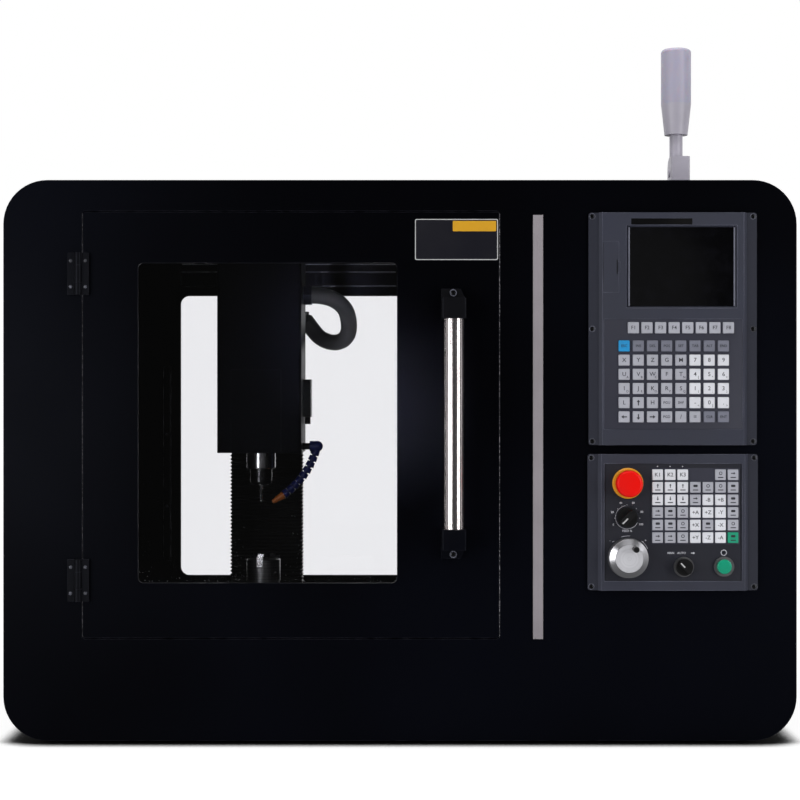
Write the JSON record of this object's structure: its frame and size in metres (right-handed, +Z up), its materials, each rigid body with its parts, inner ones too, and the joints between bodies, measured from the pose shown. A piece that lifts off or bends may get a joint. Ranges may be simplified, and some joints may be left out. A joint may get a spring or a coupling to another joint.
{
  "type": "benchtop cnc mill",
  "caption": "Enclosed benchtop CNC mill with a glazed swing door, moving table, saddle and spindle head, keypad panels and a folding signal lamp.",
  "frame": {"origin": "under the middle of the whole object, on the floor", "axes": "+Z up, the door and control panels face -Y, +X to the viewer's right"},
  "size_m": [1.19, 0.764, 1.08],
  "materials": {
    "axis_motors": "satin anodised",
    "base_pan": "smooth semi-gloss paint",
    "bed": "machined and painted casting",
    "cabinet_modules": "fine satin moulding",
    "cabinet_partition": "smooth semi-gloss paint",
    "chuck_body": "ground steel",
    "chuck_jaw_1": "ground steel",
    "chuck_jaw_2": "ground steel",
    "chuck_jaw_3": "ground steel",
    "collet_nut": "ground steel",
    "column": "machined and painted casting",
    "conduit": "fine satin moulding",
    "control_collars": "satin anodised",
    "coolant_hose": "fine satin moulding",
    "coolant_nozzle": "fine satin moulding",
    "display": "clear polished",
    "door_panel": "smooth semi-gloss paint",
    "door_window": "smooth glossy",
    "end_mill": "ground steel",
    "estop_collar": "fine satin moulding",
    "estop_head": "smooth glossy",
    "feed_knob": "fine satin moulding",
    "finger_knob": "fine satin moulding",
    "front_panel": "smooth semi-gloss paint",
    "guide_rails": "ground steel",
    "handle_brackets": "smooth semi-gloss paint",
    "handle_tube": "ground steel",
    "handwheel": "satin anodised",
    "head_casting": "machined and painted casting",
    "head_cover": "smooth semi-gloss paint",
    "head_terminal_box": "fine satin moulding",
    "hinge_leaves": "smooth semi-gloss paint",
    "hinge_posts": "smooth semi-gloss paint",
    "hood": "smooth semi-gloss paint",
    "lamp_foot": "fine satin moulding",
    "lamp_lens": "smooth glossy",
    "lamp_stem": "fine satin moulding",
    "light_strip": "smooth glossy",
    "main_keys": "matt",
    "mode_knob": "fine satin moulding",
    "operator_bezel": "fine satin moulding",
    "operator_keys": "matt",
    "rear_panel": "smooth semi-gloss paint",
    "rear_window": "smooth glossy",
    "rubber_feet": "matt",
    "saddle": "machined and painted casting",
    "screen_bezel": "fine satin moulding",
    "spindle": "ground steel",
    "spindle_motor": "satin anodised",
    "start_button": "smooth glossy",
    "table": "machined and painted casting",
    "usb_flap": "fine satin moulding",
    "window_seal": "matt",
    "x_motor": "satin anodised",
    "x_rails": "ground steel",
    "x_screw": "ground steel",
    "y_screw": "ground steel",
    "z_bellows": "matt",
    "z_screw": "ground steel"
  },
  "bodies": {
    "enclosure": {"front_panel": "front_panel", "hood": "hood", "base_pan": "base_pan", "rear_panel": "rear_panel", "rear_window": "rear_window", "cabinet_partition": "cabinet_partition", "cabinet_modules": "cabinet_modules", "rubber_feet": "rubber_feet", "bed": "bed", "column": "column", "guide_rails": "guide_rails", "axis_motors": "axis_motors", "z_bellows": "z_bellows", "light_strip": "light_strip", "hinge_posts": "hinge_posts", "screen_bezel": "screen_bezel", "display": "display", "main_keys": "main_keys", "operator_bezel": "operator_bezel", "operator_keys": "operator_keys", "estop_collar": "estop_collar", "control_collars": "control_collars", "lamp_foot": "lamp_foot", "conduit": "conduit"},
    "door": {"door_panel": "door_panel", "door_window": "door_window", "window_seal": "window_seal", "handle_tube": "handle_tube", "handle_brackets": "handle_brackets", "hinge_leaves": "hinge_leaves"},
    "saddle": {"saddle": "saddle"},
    "table": {"table": "table", "x_rails": "x_rails", "x_motor": "x_motor", "chuck_body": "chuck_body"},
    "jaw_1": {"chuck_jaw_1": "chuck_jaw_1"},
    "jaw_2": {"chuck_jaw_2": "chuck_jaw_2"},
    "jaw_3": {"chuck_jaw_3": "chuck_jaw_3"},
    "head": {"head_casting": "head_casting", "head_cover": "head_cover", "spindle_motor": "spindle_motor", "head_terminal_box": "head_terminal_box"},
    "spindle": {"spindle": "spindle", "collet_nut": "collet_nut", "end_mill": "end_mill"},
    "x_screw": {"x_screw": "x_screw"},
    "y_screw": {"y_screw": "y_screw"},
    "z_screw": {"z_screw": "z_screw"},
    "coolant": {"coolant_hose": "coolant_hose", "coolant_nozzle": "coolant_nozzle"},
    "estop": {"estop_head": "estop_head"},
    "feed_knob": {"feed_knob": "feed_knob"},
    "handwheel": {"handwheel": "handwheel"},
    "finger_knob": {"finger_knob": "finger_knob"},
    "mode_knob": {"mode_knob": "mode_knob"},
    "start_button": {"start_button": "start_button"},
    "usb_flap": {"usb_flap": "usb_flap"},
    "lamp": {"lamp_stem": "lamp_stem", "lamp_lens": "lamp_lens"}
  },
  "joints": [
    {"name": "door_swing", "type": "hinge", "parent": "enclosure", "child": "door", "pos_m": [-0.482, -0.324, 0.246], "axis": [0, 0, 1], "range_deg": [-110, 0]},
    {"name": "y_slide", "type": "slide", "parent": "enclosure", "child": "saddle", "axis": [0, 1, 0], "range_m": [-0.048, 0.048]},
    {"name": "x_slide", "type": "slide", "parent": "saddle", "child": "table", "axis": [1, 0, 0], "range_m": [-0.1, 0.1]},
    {"name": "z_slide", "type": "slide", "parent": "enclosure", "child": "head", "axis": [0, 0, 1], "range_m": [-0.08, 0.06], "deforming": ["z_bellows", "conduit"]},
    {"name": "x_screw_turn", "type": "hinge", "parent": "table", "child": "x_screw", "pos_m": [-0.234, 0.032, 0.138], "axis": [1, 0, 0], "range_deg": [-3600, 3600]},
    {"name": "y_screw_turn", "type": "hinge", "parent": "enclosure", "child": "y_screw", "pos_m": [-0.234, 0.032, 0.094], "axis": [0, 1, 0], "range_deg": [-1728, 1728]},
    {"name": "z_screw_turn", "type": "hinge", "parent": "enclosure", "child": "z_screw", "pos_m": [-0.234, 0.177, 0.55], "axis": [0, 0, 1], "range_deg": [-2880, 2160]},
    {"name": "spindle_spin", "type": "hinge", "parent": "head", "child": "spindle", "pos_m": [-0.234, 0.032, 0.428], "axis": [0, 0, 1], "continuous": true},
    {"name": "coolant_swivel", "type": "hinge", "parent": "head", "child": "coolant", "pos_m": [-0.139, 0.032, 0.438], "axis": [1, 0, 0], "range_deg": [-30, 35]},
    {"name": "jaw_1_slide", "type": "slide", "parent": "table", "child": "jaw_1", "axis": [-0.1736, -0.9848, 0], "range_m": [-0.006, 0.003]},
    {"name": "jaw_2_slide", "type": "slide", "parent": "table", "child": "jaw_2", "axis": [0.9397, 0.342, 0], "range_m": [-0.006, 0.003]},
    {"name": "jaw_3_slide", "type": "slide", "parent": "table", "child": "jaw_3", "axis": [-0.766, 0.6428, 0], "range_m": [-0.006, 0.003]},
    {"name": "estop_press", "type": "slide", "parent": "enclosure", "child": "estop", "axis": [0, 1, 0], "range_m": [0, 0.006], "stiffness_N_per_m": 1500},
    {"name": "feed_knob_turn", "type": "hinge", "parent": "enclosure", "child": "feed_knob", "pos_m": [0.3398, -0.325, 0.3405], "axis": [0, -1, 0], "range_deg": [-270, 0]},
    {"name": "handwheel_turn", "type": "hinge", "parent": "enclosure", "child": "handwheel", "pos_m": [0.3408, -0.325, 0.28], "axis": [0, -1, 0], "continuous": true},
    {"name": "finger_knob_spin", "type": "hinge", "parent": "handwheel", "child": "finger_knob", "pos_m": [0.3493, -0.345, 0.29472], "axis": [0, -1, 0], "continuous": true},
    {"name": "mode_knob_turn", "type": "hinge", "parent": "enclosure", "child": "mode_knob", "pos_m": [0.4242, -0.325, 0.2665], "axis": [0, -1, 0], "range_deg": [-90, 0]},
    {"name": "start_press", "type": "slide", "parent": "enclosure", "child": "start_button", "axis": [0, 1, 0], "range_m": [0, 0.003], "stiffness_N_per_m": 1500},
    {"name": "usb_flap_swing", "type": "hinge", "parent": "enclosure", "child": "usb_flap", "pos_m": [0.3053, -0.3257, 0.715], "axis": [0, 0, 1], "range_deg": [-95, 0]},
    {"name": "lamp_fold", "type": "hinge", "parent": "enclosure", "child": "lamp", "pos_m": [0.4486, -0.113, 0.88], "axis": [-1, 0, 0], "range_deg": [0, 90]}
  ],
  "couplings": [
    {"joint": "x_screw_turn", "follows": "x_slide", "rad_per_m": 628.32},
    {"joint": "y_screw_turn", "follows": "y_slide", "rad_per_m": 628.32},
    {"joint": "z_screw_turn", "follows": "z_slide", "rad_per_m": 628.32},
    {"joint": "jaw_2_slide", "follows": "jaw_1_slide", "ratio": 1},
    {"joint": "jaw_3_slide", "follows": "jaw_1_slide", "ratio": 1}
  ]
}
